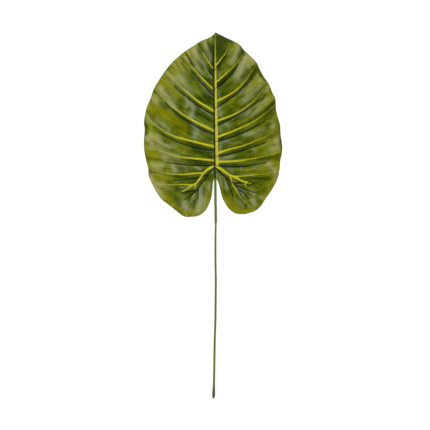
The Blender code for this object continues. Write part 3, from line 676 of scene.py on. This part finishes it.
# the midrib's own dark line, the darkest and widest, down to the cleft
spine_half = add_node(cloth, "MapRange", {0: spine_run, 1: 0.9, 2: 1, 3: 1.3, 4: 2})
inside = add_node(cloth, "Math", {0: spine_half.outputs[0], 1: spine_off}, operation="SUBTRACT")
mask = add_node(cloth, "MapRange", {0: inside.outputs[0], 1: -0.5, 2: 0.5, 3: 0, 4: 0.95})
base_colour = add_node(cloth, "Mix", {0: mask.outputs[0], 6: base_colour, 7: colour("#1a2626")},
               data_type="RGBA").outputs[2]
cloth.node_tree.links.new(base_colour, shader.inputs["Base Color"])

# weave: real threads lie 0.25 mm apart, far too fine to show, so crossed waves 4.4 mm apart
# stand for them
THREAD = 2 * math.pi * 0.7 * MM
WAVE = 2 * math.pi / 20  # length of one band of a wave texture at a scale of 1


def weave(material, place, surface, strength, depth):
    """Warp and weft threads as a bump on a material's surface."""
    warp, weft = (add_node(material, "TexWave", {"Vector": place, "Scale": WAVE / THREAD},
                           wave_type="BANDS", bands_direction=way) for way in "XY")
    threads = add_node(material, "Math", {0: warp.outputs["Fac"], 1: weft.outputs["Fac"]},
                       operation="MULTIPLY")
    bump = add_node(material, "Bump", {"Height": threads.outputs[0], "Strength": strength,
                                       "Distance": depth})
    material.node_tree.links.new(bump.outputs["Normal"], surface.inputs["Normal"])


weave(cloth, position, shader, 0.25, 0.05 * MM)
blade_mesh.materials.append(cloth)

# The same cloth's back, where the print doesn't reach: paler, matt and a little fuzzy, with the
# weave standing out more because no coating fills it.
backing = bpy.data.materials.new("polyester_cloth_back")
backing.use_nodes = True
shader = backing.node_tree.nodes["Principled BSDF"]
shader.inputs["Roughness"].default_value = 0.8
shader.inputs["Sheen Weight"].default_value = 0.25
position = add_node(backing, "TexCoord").outputs["Object"]
mottle = add_node(backing, "TexNoise", {"Vector": position, "Scale": 1 / MOTTLE, "Detail": 3})
base_colour = add_node(backing, "Mix", {0: mottle.outputs["Fac"], 6: colour("#7d8a4a"),
                                7: colour("#8f9a5c")}, data_type="RGBA")
backing.node_tree.links.new(base_colour.outputs[2], shader.inputs["Base Color"])
weave(backing, position, shader, 0.5, 0.08 * MM)
blade_mesh.materials.append(backing)

blade_mesh.shade_smooth()
blade = bpy.data.objects.new("printed_blade", blade_mesh)
bpy.context.scene.collection.objects.link(blade)
thickness = blade.modifiers.new("cloth thickness", "SOLIDIFY")
thickness.thickness = SHEET
thickness.offset = -1
thickness.material_offset = 1
thickness.material_offset_rim = 1
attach(blade, "root")
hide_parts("blade")

# The rib frame is one moulding of green polyethylene: a midrib, side ribs and lobe ribs bonded
# to the back of the cloth, and a round sleeve that runs out below the cleft to take the stem.
MIDRIB_START = 14 * MM
MIDRIB_RADII = (0.7 * MM, 1.5 * MM)
RIB_RADII = (1.1 * MM, 0.5 * MM)
LOBE_RADII = (1.3 * MM, 0.9 * MM)
TWIG_RADII = (0.85 * MM, 0.5 * MM)
BOND = 0.15 * MM  # how deep a rib's top is pressed into the back of the cloth
MOULD_SWEEPS = 3  # rounds of smoothing, as the soft corners of a moulding
SLEEVE_RADIUS = 2.45 * MM
BORE_RADIUS = 1.6 * MM
BORE_DEPTH = 16 * MM
SLEEVE_END = np.array([5.1, -14.6, 9.2]) * MM
MOULD_GRAIN = 0.45 * MM
SHARP = math.radians(50)
DRAG_GRAIN = 1.5 * MM


def tube_mesh(name, points, radii, resolution):
    """A closed round tube through the points, as a mesh."""
    curve = bpy.data.curves.new(name, "CURVE")
    curve.dimensions = "3D"
    curve.twist_mode = "Z_UP"
    curve.bevel_depth = 1
    curve.bevel_resolution = resolution
    curve.use_fill_caps = True
    spline = curve.splines.new("POLY")
    spline.points.add(len(points) - 1)
    for control, point, radius in zip(spline.points, points, radii):
        control.co = (*point, 1)
        control.radius = radius
    guide = bpy.data.objects.new(name, curve)
    bpy.context.scene.collection.objects.link(guide)
    graph = bpy.context.evaluated_depsgraph_get()
    mesh = bpy.data.meshes.new_from_object(guide.evaluated_get(graph))
    bpy.data.objects.remove(guide)
    bpy.data.curves.remove(curve)
    bm = bmesh.new()
    bm.from_mesh(mesh)
    bmesh.ops.remove_doubles(bm, verts=bm.verts[:], dist=0.001 * MM)
    bmesh.ops.recalc_face_normals(bm, faces=bm.faces[:])
    bm.to_mesh(mesh)
    bm.free()
    return mesh


def under_cloth(line, radii):
    """The middle of a rib that is bonded to the back of the cloth along this line."""
    return line - np.array([0, 0, 1]) * (SHEET - BOND + np.array(radii)[:, None])


ribs_bm = bmesh.new()
for outer, cleft in halves:
    lobe_reach = [s for s in outer.starts[1:-1] if s > fork_run][-1]
    lobe = outer.axis.at(spaced([fork_run, lobe_reach], ROW_SPACING))
    tubes = [(lobe, LOBE_RADII)]
    for patch in (outer, cleft):
        for start, reach in zip(patch.starts[1:-1], patch.reaches[1:-1]):
            radii = TWIG_RADII if start > fork_run else RIB_RADII
            tubes.append((patch.line(start)[:round(reach * LINE_STEPS) + 1], radii))
    for line, radii in tubes:
        radii = np.linspace(*radii, len(line))
        tube = tube_mesh("rib", under_cloth(line, radii), radii, 2)
        ribs_bm.from_mesh(tube)
        bpy.data.meshes.remove(tube)
midrib = midrib_route.at(midrib_rows[midrib_rows >= MIDRIB_START])
midrib_radii = np.linspace(*MIDRIB_RADII, len(midrib))
tube = tube_mesh("midrib", under_cloth(midrib, midrib_radii), midrib_radii, 3)
ribs_bm.from_mesh(tube)
bpy.data.meshes.remove(tube)
ribs_mesh = bpy.data.meshes.new("rib_frame")
ribs_bm.to_mesh(ribs_mesh)
ribs_bm.free()
ribs = bpy.data.objects.new("moulded_ribs", ribs_mesh)
bpy.context.scene.collection.objects.link(ribs)
melt = ribs.modifiers.new("melt together", "REMESH")
melt.mode = "VOXEL"
melt.voxel_size = MOULD_GRAIN
graph = bpy.context.evaluated_depsgraph_get()
moulded = bpy.data.meshes.new_from_object(ribs.evaluated_get(graph))
bpy.data.objects.remove(ribs)

frame_bm = bmesh.new()
frame_bm.from_mesh(moulded)
for sweep in range(MOULD_SWEEPS):
    bmesh.ops.smooth_vert(frame_bm, verts=frame_bm.verts[:], factor=0.5,
                          use_axis_x=True, use_axis_y=True, use_axis_z=True)
neck_radii = np.linspace(MIDRIB_RADII[1], SLEEVE_RADIUS, len(neck_line))
neck = under_cloth(neck_line, neck_radii)
sleeve_run = np.linspace(0, 1, 25)[1:, None]
sleeve = neck[-1] + (SLEEVE_END - neck[-1]) * sleeve_run
sleeve_points = np.vstack([neck, sleeve])
sleeve_radii = [*neck_radii, *[SLEEVE_RADIUS] * len(sleeve)]
tube = tube_mesh("sleeve", sleeve_points, sleeve_radii, 10)
first_new = len(frame_bm.faces)
frame_bm.from_mesh(tube)
bpy.data.meshes.remove(tube)
frame_bm.faces.ensure_lookup_table()
mouth = min(frame_bm.faces[first_new:],
            key=lambda face: (face.calc_center_median() - Vector(SLEEVE_END)).length)
bmesh.ops.inset_individual(frame_bm, faces=[mouth], thickness=SLEEVE_RADIUS - BORE_RADIUS)
bore = bmesh.ops.extrude_discrete_faces(frame_bm, faces=[mouth])["faces"][0]
inwards = Vector(neck[-1] - SLEEVE_END).normalized() * BORE_DEPTH
bmesh.ops.translate(frame_bm, verts=bore.verts[:], vec=inwards)
frame_mesh = bpy.data.meshes.new("rib_frame_finished")
frame_bm.to_mesh(frame_mesh)
frame_bm.free()


def green_polyethylene(name, roughness, stretch, grain, dark, light):
    """Satin polyethylene with fine lines along it, and its shader, places and ink."""
    plastic = bpy.data.materials.new(name)
    plastic.use_nodes = True
    surface = plastic.node_tree.nodes["Principled BSDF"]
    surface.inputs["Roughness"].default_value = roughness
    surface.inputs["IOR"].default_value = 1.51
    surface.inputs["Specular IOR Level"].default_value = 0.15
    place = add_node(plastic, "TexCoord").outputs["Object"]
    stretched = add_node(plastic, "Mapping", {0: place, "Scale": (1, stretch, 1)})
    lines = add_node(plastic, "TexNoise", {"Vector": stretched.outputs[0], "Scale": 1 / grain,
                                           "Detail": 4}).outputs["Fac"]
    base_colour = add_node(plastic, "Mix", {0: lines, 6: colour(dark), 7: colour(light)},
                   data_type="RGBA").outputs[2]
    bump = add_node(plastic, "Bump", {"Height": lines, "Strength": 0.3, "Distance": 0.1 * MM})
    plastic.node_tree.links.new(bump.outputs["Normal"], surface.inputs["Normal"])
    plastic.node_tree.links.new(base_colour, surface.inputs["Base Color"])
    return plastic, surface, place, base_colour


# Moulded polyethylene: waxy mid green, satin, with a faint lengthwise drag and pale scuffs
rib_plastic = green_polyethylene("moulded_green_polyethylene", 0.45, 0.12, DRAG_GRAIN,
                                 "#466216", "#5c7a24")[0]
frame_mesh.materials.clear()
frame_mesh.materials.append(rib_plastic)
frame_mesh.shade_smooth()
frame_mesh.set_sharp_from_angle(angle=SHARP)
rib_frame = bpy.data.objects.new("moulded_rib_frame", frame_mesh)
bpy.context.scene.collection.objects.link(rib_frame)
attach(rib_frame, "root")
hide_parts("rib_frame")

# The stem is a straight rod coated with polyethylene, pushed into the sleeve at its top and
# ending in a small moulded bulb. The coating is drawn on hot, so it carries fine long lines.
STEM_LINE = [(5.1, -14.6, 9.2), (4.5, -47, 8.4), (4.5, -85, 7.4), (5.1, -123.5, 6.5),
             (4.8, -162, 5.7), (4.3, -200, 5), (3.1, -238, 4.3), (2.4, -276, 3.7),
             (1.7, -315, 3.2), (0.8, -350, 2.95)]
PEG_RADIUS = 1.25 * MM
PEG_DEPTH = 15.5 * MM
SHOULDER_GAP = 0.3 * MM
STEM_TOP_RADIUS = 1.8 * MM
STEM_RADIUS = 2.05 * MM
STEM_TAPER = 110 * MM
BULB_RADIUS = 2.95 * MM
BULB_LENGTH = 34 * MM
BULB_ROUND = 8.5 * MM
BULB_SWELL = 1.5  # over 1, the bulb swells mostly near its foot
RING_SPACING = 2.5 * MM
DRAWN_GRAIN = 1.2 * MM
DARK_FOOT = (-0.315, -0.335)  # y where the foot begins to darken, and where it is darkest


def stem_radius(from_top, to_foot):
    """The stem's radius this far from its top and from its foot."""
    body = np.interp(from_top, (0, STEM_TAPER), (STEM_TOP_RADIUS, STEM_RADIUS))
    if to_foot < BULB_ROUND:
        return BULB_RADIUS * math.sqrt(max(1 - (1 - to_foot / BULB_ROUND) ** 2, 0.0004))
    swell = max(1 - (to_foot - BULB_ROUND) / (BULB_LENGTH - BULB_ROUND), 0)
    return body + (BULB_RADIUS - body) * swell ** BULB_SWELL


stem_route = Route(STEM_LINE)
rounded = np.sin(np.linspace(0, math.pi / 2, 24)) * BULB_ROUND
stem_runs = np.concatenate([spaced([SHOULDER_GAP, stem_route.length - BULB_ROUND], RING_SPACING),
                            stem_route.length - BULB_ROUND + rounded[1:]])
down = sleeve_points[-1] - sleeve_points[-2]
down /= np.linalg.norm(down)
stem_points = [stem_route.at(0) - down * PEG_DEPTH, stem_route.at(0) + down * 0.9 * SHOULDER_GAP,
               *stem_route.at(stem_runs)]
stem_radii = [PEG_RADIUS, PEG_RADIUS,
              *(stem_radius(run, stem_route.length - run) for run in stem_runs)]
stem_mesh = tube_mesh("coated_stem", stem_points, stem_radii, 10)

# Coating of polyethylene: mid green with long drawn lines, satin with a soft shine
stem_plastic, shader, position, base_colour = green_polyethylene(
    "drawn_polyethylene_coating", 0.36, 0.06, DRAWN_GRAIN, "#42600e", "#5c781c")
run = add_node(stem_plastic, "SeparateXYZ", {0: position}).outputs["Y"]
foot = add_node(stem_plastic, "MapRange", {0: run, 1: DARK_FOOT[0], 2: DARK_FOOT[1],
                                           3: 0, 4: 0.6})
base_colour = add_node(stem_plastic, "Mix", {0: foot.outputs[0], 6: base_colour, 7: colour("#304810")},
               data_type="RGBA").outputs[2]
stem_plastic.node_tree.links.new(base_colour, shader.inputs["Base Color"])
stem_mesh.materials.clear()
stem_mesh.materials.append(stem_plastic)
stem_mesh.shade_smooth()
stem_mesh.set_sharp_from_angle(angle=SHARP)
stem = bpy.data.objects.new("coated_stem", stem_mesh)
bpy.context.scene.collection.objects.link(stem)
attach(stem, "root")
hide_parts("stem")

# The stage: a light table under the leaf, soft light from four sides, and a long lens that looks
# straight down from above.
VIEW_WIDTH = 821.7 * MM
VIEW_CENTRE = (3.6 * MM, 0.7 * MM)
LENS = 100
SENSOR = 36
CAMERA_HEIGHT = VIEW_WIDTH * LENS / SENSOR
FLOOR_SIZE = 9
FLOOR_GAP = 0.3 * MM

floor_mesh = bpy.data.meshes.new("floor")
floor_bm = bmesh.new()
bmesh.ops.create_grid(floor_bm, x_segments=1, y_segments=1, size=FLOOR_SIZE)
bmesh.ops.translate(floor_bm, verts=floor_bm.verts[:], vec=(0, 0, -FLOOR_GAP))
floor_bm.to_mesh(floor_mesh)
floor_bm.free()

# Opal acrylic lit from below: matt, and so bright that no shadow of the leaf shows on it
opal = bpy.data.materials.new("opal_acrylic_light_table")
opal.use_nodes = True
shader = opal.node_tree.nodes["Principled BSDF"]
shader.inputs["Base Color"].default_value = colour("#606060")
shader.inputs["Roughness"].default_value = 0.9
shader.inputs["Emission Color"].default_value = (1, 1, 1, 1)
shader.inputs["Emission Strength"].default_value = 0.92
floor_mesh.materials.append(opal)
floor = bpy.data.objects.new("floor", floor_mesh)
bpy.context.scene.collection.objects.link(floor)

scene = bpy.context.scene
scene.view_settings.view_transform = "Standard"
scene.world = bpy.data.worlds.new("soft white room")
scene.world.use_nodes = True
scene.world.node_tree.nodes["Background"].inputs["Color"].default_value = (1, 1, 1, 1)
scene.world.node_tree.nodes["Background"].inputs["Strength"].default_value = 0.15
for name, place, size, power in (("key", (-0.25, 2.3, 1.6), 1.3, 47),
                                 ("left", (-2.3, 0, 1.6), 1.4, 34),
                                 ("right", (2.3, 0.2, 1.6), 1.4, 15),
                                 ("fill", (0, -2.4, 1.8), 1.4, 54)):
    lamp = bpy.data.lights.new(name, "AREA")
    lamp.size = size
    lamp.energy = power
    holder = bpy.data.objects.new(name, lamp)
    holder.location = place
    aim = Vector((0, 0.1, 0)) - Vector(place)
    holder.rotation_euler = aim.to_track_quat("-Z", "Y").to_euler()
    scene.collection.objects.link(holder)

lens = bpy.data.cameras.new("camera")
lens.lens = LENS
lens.sensor_width = SENSOR
lens.clip_end = 20
camera = bpy.data.objects.new("camera", lens)
camera.location = (*VIEW_CENTRE, CAMERA_HEIGHT)
scene.collection.objects.link(camera)
scene.camera = camera
